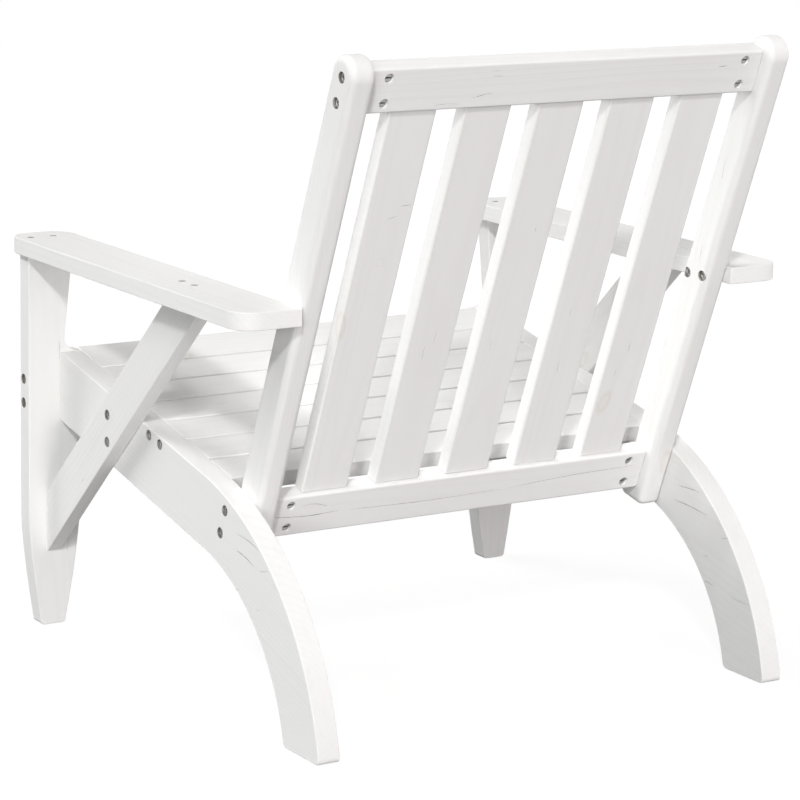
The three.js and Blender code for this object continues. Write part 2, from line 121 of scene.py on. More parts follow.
# bolts
HEAD_RADIUS = 5.6 * MM
HEAD_HEIGHT = 3 * MM
HEAD_FLAT_INSET = 0.8 * MM
HEAD_BEVEL_INSET = 0.3 * MM
HEAD_BEVEL_DROP = 0.15 * MM
HEAD_BEVEL_DEPTH = 0.6 * MM
HEAD_UNDER_CHAMFER = 0.2 * MM
SHANK_RADIUS = 3 * MM
THREAD_ROOT = 2.45 * MM
THREAD_PITCH = 1 * MM
THREAD_LENGTH = 18 * MM
THREAD_STEPS = 4
SOCKET_RADIUS = 2.9 * MM
SOCKET_DEPTH = 2.2 * MM
SOCKET_POINT = 0.7 * MM
SOCKET_CHAMFER = 0.3 * MM
POINT_CHAMFER = 0.8 * MM
POINT_INSET = 0.4 * MM

# barrel nuts
NUT_LENGTH = 14 * MM
NUT_CHAMFER = 0.5 * MM
NUT_SLOT_WIDTH = 2.2 * MM
NUT_SLOT_DEPTH = 3 * MM
NUT_BORE_LIP = 0.9 * MM
NUT_BORE_FLARE = 1.2 * MM

# screws in the tops of the arms
SCREW_HEAD_RADIUS = 3.8 * MM
SCREW_HEAD_DEPTH = 2.6 * MM
SCREW_HEAD_BEVEL = 0.15 * MM
SCREW_HEAD_RIM = 0.35 * MM
SCREW_SHANK_RADIUS = 1.7 * MM
SCREW_LENGTH = 32 * MM
SCREW_SUNK = 1.9 * MM
SCREW_POINT_LENGTH = 6 * MM
SCREW_POINT_RADIUS = 0.1 * MM
SCREW_THREAD_PITCH = 2 * MM
SCREW_THREAD_HEIGHT = 0.7 * MM
SCREW_THREAD_STEP = 0.5 * MM
SCREW_THREAD_START = 0.4
SCREW_THREAD_END = 0.97
SCREW_ROOT_SHARE = 0.75
SCREW_RIDGE_STEEPNESS = 1.6
SCREW_TURN = Vector((1, 0.35, 0))
CROSS_REACH = 2.1 * MM
CROSS_WIDTH = 0.8 * MM
CROSS_DEPTH = 1.5 * MM
CROSS_TIP_SHARE = 0.35
LEG_SCREWS_FROM_EDGE = (9 * MM, 37 * MM)
BRACE_SCREWS_FROM_TOP = (32 * MM, 59 * MM)

# chipped paint round the holes
CHIP_DEPTH = 0.5 * MM
CHIP_START = 0.15 * MM
CHIP_LEAST = 0.25 * MM
CHIP_MOST = 1.0 * MM
CHIP_WAVES = 1.6
CHIP_FINE_WAVES = 3.1
SEED_STEP = 3.7
NUT_SEED = 200
SCREW_SEED = 400

# where the grain's middle, the pith, lies from a board's own middle
GRAIN_SHIFT = 9
PITH_ASIDE = 30 * MM
PITH_DEPTH = (20 * MM, 90 * MM)

# cracks and the knot
CRACK_WIDTH = 0.8 * MM
CRACK_DEPTH = 1.4 * MM
CRACK_STEP = 4 * MM
CRACK_WOBBLE = 0.35 * MM
CRACK_LEAST = 0.08
CRACK_BLUNTNESS = 0.6
SMALL_CRACK = 0.45
SMALL_CRACKS_PER_FACE = 2
SMALL_CRACK_RUN = (9 * MM, 26 * MM)
CRACKED_WIDTH = 40 * MM
KNOT_PLACE = (53 * MM, -3 * MM)
KNOT_RADIUS = 4.2 * MM
KNOT_STRETCH = 1.35
KNOT_STEPS = 30
KNOT_GROOVE = 0.35 * MM


# ---------------------------------------------------------------- camera
# The photograph's view, from a camera fitted to the chair's edges.
CAMERA_TARGET = Vector((0.0158, 0.0072, 0.294))
CAMERA_DISTANCE = 3.526
CAMERA_AZIMUTH = math.radians(147.255)
CAMERA_ELEVATION = math.radians(12.418)
CAMERA_ROLL = math.radians(-1.29)
CAMERA_LENS = 140.52
SENSOR_WIDTH = 36


def direction(azimuth, elevation):
    """Unit vector from the chair towards a viewer: azimuth 0 is in front, elevation is up."""
    level = math.cos(elevation)
    return Vector((math.sin(azimuth) * level, -math.cos(azimuth) * level, math.sin(elevation)))


def add_camera():
    data = bpy.data.cameras.new("camera")
    data.lens = CAMERA_LENS
    data.sensor_width = SENSOR_WIDTH
    camera = bpy.data.objects.new("camera", data)
    bpy.context.scene.collection.objects.link(camera)
    back = direction(CAMERA_AZIMUTH, CAMERA_ELEVATION)
    level_right = Vector((-back.y, back.x, 0)).normalized()
    level_up = back.cross(level_right)
    up = level_up * math.cos(CAMERA_ROLL) + level_right * math.sin(CAMERA_ROLL)
    right = up.cross(back)
    turn = Matrix((right, up, back)).transposed().to_4x4()
    camera.matrix_world = Matrix.Translation(CAMERA_TARGET + back * CAMERA_DISTANCE) @ turn
    bpy.context.scene.camera = camera


# ---------------------------------------------------------------- node trees
class Tree:
    """Short ways to add nodes to one node tree."""

    def __init__(self, tree):
        self.tree = tree

    def set(self, socket, value):
        if isinstance(value, bpy.types.NodeSocket):
            self.tree.links.new(value, socket)
        else:
            socket.default_value = value

    def add(self, kind, inputs=None, **settings):
        """A shader node of this kind. inputs maps socket names or numbers to values or outputs."""
        made = self.tree.nodes.new("ShaderNode" + kind)
        for name, value in settings.items():
            setattr(made, name, value)
        for name, value in (inputs or {}).items():
            self.set(made.inputs[name], value)
        return made

    def math(self, operation, first, second=0.0, clamp=False):
        inputs = {0: first, 1: second}
        return self.add("Math", inputs, operation=operation, use_clamp=clamp).outputs[0]

    def scaled(self, vector, factors):
        inputs = {0: vector, 1: factors}
        return self.add("VectorMath", inputs, operation="MULTIPLY").outputs[0]

    def shifted(self, vector, offset):
        return self.add("VectorMath", {0: vector, 1: offset}, operation="ADD").outputs[0]

    def noise(self, vector, scale, detail=2.0, roughness=0.5, out="Fac"):
        inputs = {"Vector": vector, "Scale": scale, "Detail": detail, "Roughness": roughness}
        return self.add("TexNoise", inputs).outputs[out]

    def between(self, value, low, high, to_low=0.0, to_high=1.0):
        """value taken smoothly from the range low..high to the range to_low..to_high."""
        inputs = {"Value": value, "From Min": low, "From Max": high, "To Min": to_low, "To Max": to_high}
        made = self.add("MapRange", inputs, interpolation_type="SMOOTHSTEP")
        return made.outputs["Result"]

    def mix(self, factor, first, second):
        """Colour from first to second by factor. The numbers are the colour sockets of a Mix node."""
        made = self.add("Mix", data_type="RGBA")
        self.set(made.inputs[0], factor)
        self.set(made.inputs[6], first)
        self.set(made.inputs[7], second)
        return made.outputs[2]


def new_material(name):
    """A material with its tree, and the Principled shader in it."""
    material = bpy.data.materials.new(name)
    material.use_nodes = True
    return material, Tree(material.node_tree), material.node_tree.nodes["Principled BSDF"]


def seen_or_lighting(tree, seen, lighting):
    """One shader for rays from the camera, gloss or glass, and another for lighting."""
    path = tree.add("LightPath")
    seen_by = tree.math("MAXIMUM", path.outputs["Is Camera Ray"], path.outputs["Is Glossy Ray"])
    either = tree.math("MAXIMUM", seen_by, path.outputs["Is Transmission Ray"])
    return tree.add("MixShader", {"Fac": either, 1: lighting, 2: seen}).outputs[0]


# ---------------------------------------------------------------- light, floor and background
SUN_DISTANCE = 3
SPOT_DISTANCE = 3.3
SPOT_BLEND = 0.5
SPOT_SIZE = 0.15
WHITE = (1, 1, 1, 1)
FILL_COLOR = (0.97, 0.98, 1, 1)
FILL_STRENGTH = 0.02
FLOOR_HALF_WIDTH = 6
FLOOR_DROP = 0.2 * MM
FLOOR_PAPER = (0.12, 0.12, 0.12, 1)
FLOOR_BOUNCE = (0.2, 0.2, 0.2, 1)
FLOOR_GLOW = 0.92


def hang_lamp(data, azimuth, elevation, aim, distance):
    """Puts a lamp in that direction from aim, turned towards it. Angles are in degrees."""
    lamp = bpy.data.objects.new(data.name, data)
    bpy.context.scene.collection.objects.link(lamp)
    towards = direction(math.radians(azimuth), math.radians(elevation))
    lamp.location = aim + towards * distance
    lamp.rotation_euler = towards.to_track_quat("Z", "Y").to_euler()


def add_sun(name, azimuth, elevation, softness, strength, color):
    """A lamp far off in that direction, as wide in the sky as softness. Angles are in degrees."""
    data = bpy.data.lights.new(name, "SUN")
    data.angle = math.radians(softness)
    data.energy = strength
    data.color = color
    hang_lamp(data, azimuth, elevation, Vector((0, 0, 0)), SUN_DISTANCE)


def add_spot(name, azimuth, elevation, aim, cone, power):
    """A narrow lamp that reaches over the arms to one region. Angles are in degrees."""
    data = bpy.data.lights.new(name, "SPOT")
    data.spot_size = math.radians(cone)
    data.spot_blend = SPOT_BLEND
    data.shadow_soft_size = SPOT_SIZE
    data.energy = power
    hang_lamp(data, azimuth, elevation, aim, SPOT_DISTANCE)


def add_world():
    world = bpy.data.worlds.new("studio")
    bpy.context.scene.world = world
    world.use_nodes = True
    tree = Tree(world.node_tree)
    world.node_tree.nodes.clear()
    white = tree.add("Background", {"Color": WHITE, "Strength": 1})
    fill = tree.add("Background", {"Color": FILL_COLOR, "Strength": FILL_STRENGTH})
    surface = seen_or_lighting(tree, white.outputs[0], fill.outputs[0])
    tree.add("OutputWorld", {"Surface": surface})


def add_floor():
    """A white sheet that keeps a faint shadow and throws little light back up."""
    bm = bmesh.new()
    bmesh.ops.create_grid(bm, x_segments=1, y_segments=1, size=FLOOR_HALF_WIDTH)
    mesh = bpy.data.meshes.new("floor")
    bm.to_mesh(mesh)
    bm.free()
    floor = bpy.data.objects.new("floor", mesh)
    floor.location.z = cad_box[LOW][Z] - FLOOR_DROP
    bpy.context.scene.collection.objects.link(floor)
    material = bpy.data.materials.new("floor")
    material.use_nodes = True
    material.node_tree.nodes.clear()
    tree = Tree(material.node_tree)
    paper = tree.add("BsdfDiffuse", {"Color": FLOOR_PAPER})
    glow = tree.add("Emission", {"Color": WHITE, "Strength": FLOOR_GLOW})
    seen = tree.add("AddShader", {0: paper.outputs[0], 1: glow.outputs[0]})
    bounce = tree.add("BsdfDiffuse", {"Color": FLOOR_BOUNCE})
    surface = seen_or_lighting(tree, seen.outputs[0], bounce.outputs[0])
    tree.add("OutputMaterial", {"Surface": surface})
    mesh.materials.append(material)


add_camera()
add_world()
add_floor()
add_sun("key", 142, 34, softness=5, strength=1.45, color=(0.985, 1, 0.985))
add_sun("low", 130, 8, softness=25, strength=1.2, color=(0.985, 1, 0.985))
add_sun("rear", 180, 10, softness=25, strength=1.17, color=(1, 0.935, 0.95))
add_sun("top", 60, 60, softness=25, strength=0.82, color=(0.99, 1, 0.99))
add_sun("front", 30, 30, softness=25, strength=1.45, color=(1, 1, 0.99))
add_sun("far rear", 235, 25, softness=30, strength=0.3, color=(1, 0.96, 0.965))
add_sun("far side", 275, 8, softness=30, strength=1.35, color=(1, 0.99, 0.98))
add_spot("slats", 62, 30, aim=Vector((-0.09, 0.20, 0.46)), cone=7.5, power=92)
add_spot("seat", 0, 70, aim=Vector((0, -0.01, 0.28)), cone=9, power=135)


# ---------------------------------------------------------------- materials
PAINT_WHITE = (0.825, 0.82, 0.816, 1)
PAINT_SHADE = (0.77, 0.757, 0.742, 1)
KNOT_STAIN = (0.70, 0.655, 0.59, 1)
BARE_PINE = (0.62, 0.47, 0.31, 1)
PRIMED_PALE = (0.75, 0.735, 0.71, 1)
PRIMED_DARK = (0.60, 0.565, 0.52, 1)
# Crack and hole colours: dirt, with painted shade for the dark inside of the grooves and the hole walls.
CRACK_DARK = (0.17, 0.16, 0.15, 1)
CRACK_PALE = (0.36, 0.34, 0.32, 1)
ZINC_DARK = (0.22, 0.22, 0.215, 1)
ZINC_PALE = (0.40, 0.40, 0.395, 1)
ZINC_SPANGLE = (0.15, 0.15, 0.145, 1)
ZINC_SCUFF = (0.55, 0.55, 0.545, 1)

# One ring of a Wave texture is this long at a scale of 1.
WAVE_PERIOD = math.tau / 20
RING_PITCH = 5 * MM
RING_STRETCH = (0.05, 1, 1)

# Repeats of each pattern per metre. A triple runs along, across and through the board.
WANDER_REPEATS = (1.2, 6, 6)
WANDER_REACH = (0.25, 0.05, 0.05)
FIBRE_REPEATS = (9, 700, 700)
STREAK_REPEATS = (2.5, 120, 120)
CLOUD_REPEATS = 4.0
KNOT_REPEATS = (5.5, 11, 11)
KNOTLESS_SHARE = 0.66
SPECK_REPEATS = 420.0
RUB_REPEATS = (18, 60, 60)
BRUSHED_REPEATS = 260.0
PRIMED_REPEATS = (60, 900, 900)
# The patches of the dirt and painted shade inside cracks and holes.
DIRT_AND_SHADE_REPEATS = (40, 300, 300)
SPANGLE_REPEATS = 900.0
TARNISH_REPEATS = 260.0


def board_place(tree):
    """Coordinates along, across and through the board, in metres."""
    return tree.add("Attribute", attribute_name="grain").outputs["Vector"]


def edge_share(tree):
    """1 on the middle of an edge, and 0 on the faces beside it."""
    return tree.add("Attribute", attribute_name="edge").outputs["Fac"]


def add_bump(tree, shader, height, strength, distance):
    bump = tree.add("Bump", {"Strength": strength, "Distance": distance, "Height": height})
    tree.set(shader.inputs["Normal"], bump.outputs[0])


def paint_material():
    """White paint that has sunk into pine: growth rings, fibres, knots and worn edges show through."""
    material, tree, shader = new_material("white_paint")
    board = board_place(tree)

    wander = tree.noise(tree.scaled(board, WANDER_REPEATS), 1.0, 2.0, out="Color")
    wander = tree.shifted(wander, (-0.5, -0.5, -0.5))
    warped = tree.shifted(board, tree.scaled(wander, WANDER_REACH))
    rings = tree.add(
        "TexWave",
        {"Vector": tree.scaled(warped, RING_STRETCH), "Scale": WAVE_PERIOD / RING_PITCH},
        wave_type="RINGS",
        rings_direction="X",
        wave_profile="SIN",
    ).outputs["Fac"]
    late_wood = tree.between(rings, 0.55, 1.0)

    fibre = tree.noise(tree.scaled(board, FIBRE_REPEATS), 1.0, 3.0, 0.6)
    streak = tree.noise(tree.scaled(board, STREAK_REPEATS), 1.0, 2.0, 0.5)
    cloud = tree.noise(board, CLOUD_REPEATS, 3.0, 0.55)
    speck = tree.noise(board, SPECK_REPEATS, 1.0)

    cell = tree.add("TexVoronoi", {"Vector": tree.scaled(warped, KNOT_REPEATS), "Scale": 1.0})
    drawn = tree.add("SeparateColor", {0: cell.outputs["Color"]}).outputs[0]
    chosen = tree.math("GREATER_THAN", drawn, KNOTLESS_SHARE)
    near = tree.between(cell.outputs["Distance"], 0.055, 0.12, 1.0, 0.0)
    knot = tree.math("MULTIPLY", near, chosen)
    rim = tree.math("MULTIPLY", tree.between(cell.outputs["Distance"], 0.05, 0.07), knot)

    rub = tree.between(tree.noise(tree.scaled(board, RUB_REPEATS), 1.0, 3.0, 0.65), 0.60, 0.72)
    worn = tree.math("MULTIPLY", tree.math("MULTIPLY", rub, edge_share(tree)), 0.10)

    color = tree.mix(tree.between(cloud, 0.35, 0.7, 0.0, 0.30), PAINT_WHITE, PAINT_SHADE)
    color = tree.mix(tree.math("MULTIPLY", late_wood, 0.22), color, PAINT_SHADE)
    color = tree.mix(tree.between(streak, 0.52, 0.72, 0.0, 0.30), color, PAINT_SHADE)
    color = tree.mix(tree.between(fibre, 0.60, 0.80, 0.0, 0.25), color, PAINT_SHADE)
    color = tree.mix(tree.math("MULTIPLY", knot, 0.22), color, KNOT_STAIN)
    color = tree.mix(tree.math("MULTIPLY", rim, 0.35), color, KNOT_STAIN)
    color = tree.mix(tree.between(speck, 0.76, 0.80, 0.0, 0.35), color, KNOT_STAIN)
    color = tree.mix(worn, color, BARE_PINE)
    tree.set(shader.inputs["Base Color"], color)
    tree.set(shader.inputs["Roughness"], tree.between(streak, 0.3, 0.7, 0.58, 0.72))
    shader.inputs["Specular IOR Level"].default_value = 0.35

    relief = tree.math("MULTIPLY", late_wood, 0.5)
    relief = tree.math("ADD", relief, tree.math("MULTIPLY", fibre, 0.5))
    relief = tree.math("ADD", relief, tree.math("MULTIPLY", knot, 0.5))
    relief = tree.math("SUBTRACT", relief, tree.math("MULTIPLY", worn, 0.6))
    brushed = tree.noise(board, BRUSHED_REPEATS, 2.0)
    relief = tree.math("ADD", relief, tree.math("MULTIPLY", brushed, 0.35))
    add_bump(tree, shader, relief, strength=0.28, distance=0.4 * MM)
    return material


def bare_wood_material():
    """Primed pine where the paint has broken away at the rim of a drilled hole."""
    material, tree, shader = new_material("bare_wood")
    fibre = tree.noise(tree.scaled(board_place(tree), PRIMED_REPEATS), 1.0, 3.0, 0.6)
    color = tree.mix(tree.between(fibre, 0.35, 0.7), PRIMED_PALE, PRIMED_DARK)
    tree.set(shader.inputs["Base Color"], color)
    shader.inputs["Roughness"].default_value = 0.8
    add_bump(tree, shader, fibre, strength=0.5, distance=0.3 * MM)
    return material


def dirt_and_shade_material():
    """Dirt and old resin in an open crack or a drilled hole, with painted shade: darker than the wood so
    that the groove and the hole wall look shadowed.
    """
    material, tree, shader = new_material("crack")
    dirt_and_shade = tree.noise(tree.scaled(board_place(tree), DIRT_AND_SHADE_REPEATS), 1.0, 2.0)
    color = tree.mix(tree.between(dirt_and_shade, 0.35, 0.65), CRACK_DARK, CRACK_PALE)
    tree.set(shader.inputs["Base Color"], color)
    shader.inputs["Roughness"].default_value = 0.9
    return material


def steel_material():
    """Dull zinc plating: spangled grey, scuffed brighter on its edges."""
    material, tree, shader = new_material("dull_zinc")
    place = tree.add("TexCoord").outputs["Object"]
    spangle = tree.noise(place, SPANGLE_REPEATS, 2.0, 0.6)
    tarnish = tree.noise(place, TARNISH_REPEATS, 3.0, 0.6)
    color = tree.mix(tree.between(tarnish, 0.35, 0.65), ZINC_DARK, ZINC_PALE)
    color = tree.mix(tree.between(spangle, 0.5, 0.7, 0.0, 0.5), color, ZINC_SPANGLE)
    color = tree.mix(tree.math("MULTIPLY", edge_share(tree), 0.45), color, ZINC_SCUFF)
    tree.set(shader.inputs["Base Color"], color)
    shader.inputs["Metallic"].default_value = 1.0
    tree.set(shader.inputs["Roughness"], tree.between(tarnish, 0.3, 0.7, 0.34, 0.55))
    add_bump(tree, shader, spangle, strength=0.25, distance=0.1 * MM)
    return material


# The third wood material is dirt with painted shade, for the insides of cracks and holes.
PAINT, BARE, DIRT_AND_SHADE = 0, 1, 2
WOOD_MATERIALS = (paint_material(), bare_wood_material(), dirt_and_shade_material())
STEEL = steel_material()


# ---------------------------------------------------------------- turned shapes
def place_along(point, towards, sideways):
    """Frame at point with +Z along towards, and +X as near to sideways as it can be."""
    up = towards.normalized()
    across = (sideways - up * sideways.dot(up)).normalized()
    turn = Matrix((across, up.cross(across), up)).transposed().to_4x4()
    return Matrix.Translation(point) @ turn


def add_skin(bm, rings, material=PAINT, closed=True):
    """Faces between rings of points, with flat ends if closed. Returns the new points in order."""
    made = [[bm.verts.new(point) for point in ring] for ring in rings]
    faces = []
    for lower, upper in zip(made, made[1:]):
        for i in range(len(lower)):
            faces.append(bm.faces.new((lower[i - 1], lower[i], upper[i], upper[i - 1])))
    if closed:
        faces.append(bm.faces.new(reversed(made[0])))
        faces.append(bm.faces.new(made[-1]))
    for face in faces:
        face.material_index = material
    return [vert for ring in made for vert in ring]


def turned_rings(place, profile, steps=TURN_STEPS):
    """Rings of a turned shape. profile holds (height, radius), and a radius may depend on the angle."""
    rings = []
    for height, radius in profile:
        ring = []
        for step in range(steps):
            angle = math.tau * step / steps
            reach = radius(angle) if callable(radius) else radius
            ring.append(place @ Vector((reach * math.cos(angle), reach * math.sin(angle), height)))
        rings.append(ring)
    return rings


def finished(bm):
    """Joins the points that fall together and turns the faces out."""
    bmesh.ops.remove_doubles(bm, verts=bm.verts, dist=WELD)
    bmesh.ops.dissolve_degenerate(bm, edges=bm.edges, dist=SLIVER)
    bmesh.ops.recalc_face_normals(bm, faces=bm.faces)


def to_mesh(bm, name, materials):
    mesh = bpy.data.meshes.new(name)
    bm.to_mesh(mesh)
    bm.free()
    for material in materials:
        mesh.materials.append(material)
    return mesh


def carved(mesh, layers):
    """The mesh less each layer of cutters in turn, in triangles, without slivers.

    A cut face keeps its cutter's material.
    """
    shown = bpy.context.scene.collection.objects
    block = bpy.data.objects.new("block", mesh)
    shown.link(block)
    tools = []
    for cutters in layers:
        if not cutters.faces:
            cutters.free()
            continue
        finished(cutters)
        tool = bpy.data.objects.new("tool", to_mesh(cutters, "tool", mesh.materials))
        shown.link(tool)
        tools.append(tool)
        cut = block.modifiers.new("cut", "BOOLEAN")
        cut.operation = "DIFFERENCE"
        cut.solver = "MANIFOLD"
        cut.material_mode = "TRANSFER"
        cut.object = tool
    depsgraph = bpy.context.evaluated_depsgraph_get()
    result = bpy.data.meshes.new_from_object(block.evaluated_get(depsgraph))
    for used in [block] + tools:
        bpy.data.objects.remove(used)
    clean = bmesh.new()
    clean.from_mesh(result)
    bmesh.ops.triangulate(clean, faces=clean.faces)
    finished(clean)
    clean.to_mesh(result)
    clean.free()
    return result


# ---------------------------------------------------------------- blanks from the CAD outlines
def welded(node):
    """The node's CAD mesh with the vertices that the file format splits joined again."""
    bm = bmesh.new()
    bm.from_mesh(frame["nodes"][node].data)
    bmesh.ops.remove_doubles(bm, verts=bm.verts, dist=CAD_WELD)
    return bm


def ring_from(edges):
    """The vertices of one closed chain of edges, in order. It takes them out of the given list."""
    first = edges.pop()
    ring = [first.verts[0], first.verts[1]]
    while True:
        following = next((e for e in ring[-1].link_edges if e in edges), None)
        if following is None:
            return ring
        edges.remove(following)
        corner = following.other_vert(ring[-1])
        if corner is ring[0]:
            return ring
        ring.append(corner)


def outline(node, axis):
    """Outer outline of the node's flat end along axis, anticlockwise, without its drilled holes."""
    bm = welded(node)
    top = max(v.co[axis] for v in bm.verts)
    cap = {f for f in bm.faces if all(top - v.co[axis] < CAD_FLATNESS for v in f.verts)}
    rim = [e for e in bm.edges if sum(f in cap for f in e.link_faces) == 1]
    rings = []
    while rim:
        rings.append([flat(v.co, axis) for v in ring_from(rim)])
    bm.free()
    outer = max(rings, key=lambda ring: abs(area(ring)))
    return outer if area(outer) > 0 else outer[::-1]


def flat(point, axis):
    """The point as seen along axis."""
    return Vector((point[(axis + 1) % 3], point[(axis + 2) % 3]))


def solid(point, axis, height):
    """The point of a flat outline, raised to that height along axis."""
    raised = Vector((0, 0, 0))
    raised[(axis + 1) % 3] = point.x
    raised[(axis + 2) % 3] = point.y
    raised[axis] = height
    return raised


def cross(a, b):
    return a.x * b.y - a.y * b.x


def area(ring):
    return sum(cross(ring[i - 1], ring[i]) for i in range(len(ring))) / 2


def turn_angle(before, after):
    return math.atan2(cross(before, after), before.dot(after))


def chords(ring):
    return [ring[(i + 1) % len(ring)] - ring[i] for i in range(len(ring))]


def smoothed(ring):
    """The outline with one more point in each short chord of its curves.

    It is the middle of the cubic curve that leaves and arrives along the outline's own directions.
    """
    chord = chords(ring)
    turns = [turn_angle(chord[i - 1], chord[i]) for i in range(len(ring))]

    def tangent(i):
        """Direction of the curve at a point, or None at a corner."""
        before = chord[i - 1]
        after = chord[i]
        if abs(turns[i]) > SHARP:
            return None
        if before.length > STRAIGHT_SHARE * after.length:
            return before.normalized()
        if after.length > STRAIGHT_SHARE * before.length:
            return after.normalized()
        return (before.normalized() * after.length + after.normalized() * before.length).normalized()

    def mirrored(heading, along):
        """The direction at the other end of a circular arc over the chord."""
        return 2 * heading.dot(along) * along - heading

    result = []
    for i, point in enumerate(ring):
        result.append(point)
        j = (i + 1) % len(ring)
        bends = any(CURVED < abs(turns[k]) <= SHARP for k in (i, j))
        if not bends or chord[i].length > LONG_CHORD:
            continue
        along = chord[i].normalized()
        leave = tangent(i)
        arrive = tangent(j)
        leave = leave or mirrored(arrive or along, along)
        arrive = arrive or mirrored(leave, along)
        result.append(point + chord[i] / 2 + (leave - arrive) * chord[i].length / 8)
    return result


def stations(ring, radius):
    """(point, inward, weight) round the outline, with its outer corners rounded to the radius.

    point + inward * radius is where the flat face begins. weight says how much of an edge it is.
    """
    chord = chords(ring)
    result = []
    for i, point in enumerate(ring):
        before = chord[i - 1]
        after = chord[i]
        in_before = Vector((-before.y, before.x)).normalized()
        in_after = Vector((-after.y, after.x)).normalized()
        miter = (in_before + in_after) / (1 + in_before.dot(in_after))
        bend = turn_angle(before, after)
        if bend < SHARP:
            result.append((point, miter, 0.0))
            continue
        room = CORNER_ROOM * min(before.length, after.length) / math.tan(bend / 2)
        round_to = min(radius, room)
        centre = point + miter * round_to
        steps = max(CORNER_STEPS_LEAST, math.ceil(bend / CORNER_STEP))
        start = math.atan2(-in_before.y, -in_before.x)
        for step in range(steps + 1):
            share = step / steps
            angle = start + bend * share
            out = Vector((math.cos(angle), math.sin(angle)))
            weight = math.sin(math.pi * share)
            result.append((centre + out * round_to, -out * round_to / radius, weight))
    return result


def rounded_blank(node, axis, radius):
    """The node's outline drawn through its thickness, with all its edges rounded over."""
    low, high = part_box(node)
    round_path = stations(smoothed(outline(node, axis)), radius)
    levels = []
    for step in range(ROUND_STEPS + 1):
        angle = math.pi / 2 * step / ROUND_STEPS
        levels.append((radius * (1 - math.sin(angle)), radius * (1 - math.cos(angle)), math.sin(2 * angle)))
    levels.reverse()
    rings = []
    weights = []
    for end, sign, order in ((low[axis], 1, levels), (high[axis], -1, levels[::-1])):
        for rise, inset, weight in order:
            height = end + sign * rise
            rings.append([solid(p + inward * inset, axis, height) for p, inward, _ in round_path])
            weights += [max(weight, corner) for _, _, corner in round_path]
    bm = bmesh.new()
    layer = bm.verts.layers.float.new("edge")
    for vert, weight in zip(add_skin(bm, rings), weights):
        vert[layer] = weight
    finished(bm)
    return to_mesh(bm, node, WOOD_MATERIALS)


# ---------------------------------------------------------------- boards
def face_directions(node):
    """(length, width, thickness) of a board as unit vectors, from the areas of its CAD faces."""
    bm = welded(node)
    totals = []
    for face in bm.faces:
        for entry in totals:
            if abs(entry[0].dot(face.normal)) > PARALLEL:
                entry[1] += face.calc_area()
                break
        else:
            totals.append([face.normal.copy(), face.calc_area()])
    bm.free()
    totals.sort(key=lambda entry: -entry[1])
    thickness = totals[0][0]
    width = next(entry[0] for entry in totals if abs(entry[0].dot(thickness)) < SQUARE)

    def facing_up(vector):
        """The vector or its opposite, so that its largest part is positive."""
        return vector if max(vector, key=abs) > 0 else -vector

    thickness = facing_up(thickness)
    width = facing_up(width)
    return facing_up(thickness.cross(width)), width, thickness


def middle(node):
    """Middle of the node's box."""
    low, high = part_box(node)
    return (Vector(low) + Vector(high)) / 2


class Board:
    """One wooden piece: its directions, its reach along each and the cutters that shape it."""

    def __init__(self, node):
        self.node = node
        self.centre = middle(node)
        self.axes = face_directions(node)
        points = [v.co - self.centre for v in frame["nodes"][node].data.vertices]
        self.low = [min(p.dot(axis) for p in points) for axis in self.axes]
        self.high = [max(p.dot(axis) for p in points) for axis in self.axes]
        self.random = random.Random(node)
        self.holes = bmesh.new()
        self.pockets = bmesh.new()
        self.marks = bmesh.new()

    def point(self, along, across, out):
        """A place given in the board's own directions, from its middle."""
        length, width, thickness = self.axes
        return self.centre + length * along + width * across + thickness * out

    def face_place(self, along, across, side):
        """Frame on the board's broad face: +Z out of the wood, +X along the grain."""
        out = self.high[2] if side > 0 else self.low[2]
        return place_along(self.point(along, across, out), self.axes[2] * side, self.axes[0])

    def grain_attribute(self, mesh):
        """Board coordinates for the material, shifted so that no two boards look alike."""
        shift = Vector([self.random.uniform(-GRAIN_SHIFT, GRAIN_SHIFT) for _ in range(3)])
        shift.y = self.random.uniform(-PITH_ASIDE, PITH_ASIDE)
        shift.z = self.random.choice((-1, 1)) * self.random.uniform(*PITH_DEPTH)
        grain = mesh.attributes.new("grain", "FLOAT_VECTOR", "POINT")
        for vert, value in zip(mesh.vertices, grain.data):
            offset = vert.co - self.centre
            value.vector = Vector([offset.dot(axis) for axis in self.axes]) + shift


def thickness_axis(node):
    if node.startswith("front_leg"):
        return Y
    if node.startswith("armrest"):
        return Z
    return X


def edge_round(node):
    if node.startswith("back_post"):
        return POST_ROUND
    if node.startswith("armrest"):
        return ARM_ROUND
    if node.startswith("back_rail"):
        return RAIL_ROUND
    if node.startswith("back_slat"):
        return SLAT_ROUND
    if node.startswith(("side_board", "front_leg", "arm_brace")):
        return BOARD_ROUND
    return SMALL_ROUND


boards = {node: Board(node) for node in WOOD}


# ---------------------------------------------------------------- drilled holes
def ragged(radius, seed):
    """Radius of a chipped rim by angle: mostly small chips, and here and there a larger one."""
    def reach(angle):
        place = Vector((math.cos(angle) * CHIP_WAVES, math.sin(angle) * CHIP_WAVES, seed))
        chip = 0.5 + 0.5 * noise.noise(place) + 0.25 * noise.noise(place * CHIP_FINE_WAVES)
        return radius + CHIP_LEAST + (CHIP_MOST - CHIP_LEAST) * min(1, max(0, chip)) ** 2
    return reach


def add_chips(cutters, place, radius, seed):
    """A shallow ragged flare round the mouth of a hole. +Z of place points out of the wood.

    It begins inside the hole and is turned by half a step, so that its edges cross the hole's own.
    """
    rim = ragged(radius, seed)
    profile = [(-CHIP_DEPTH, radius - CHIP_START), (0, rim), (OVERCUT, rim)]
    half_step = Matrix.Rotation(math.pi / TURN_STEPS, 4, "Z")
    add_skin(cutters, turned_rings(place @ half_step, profile), BARE)


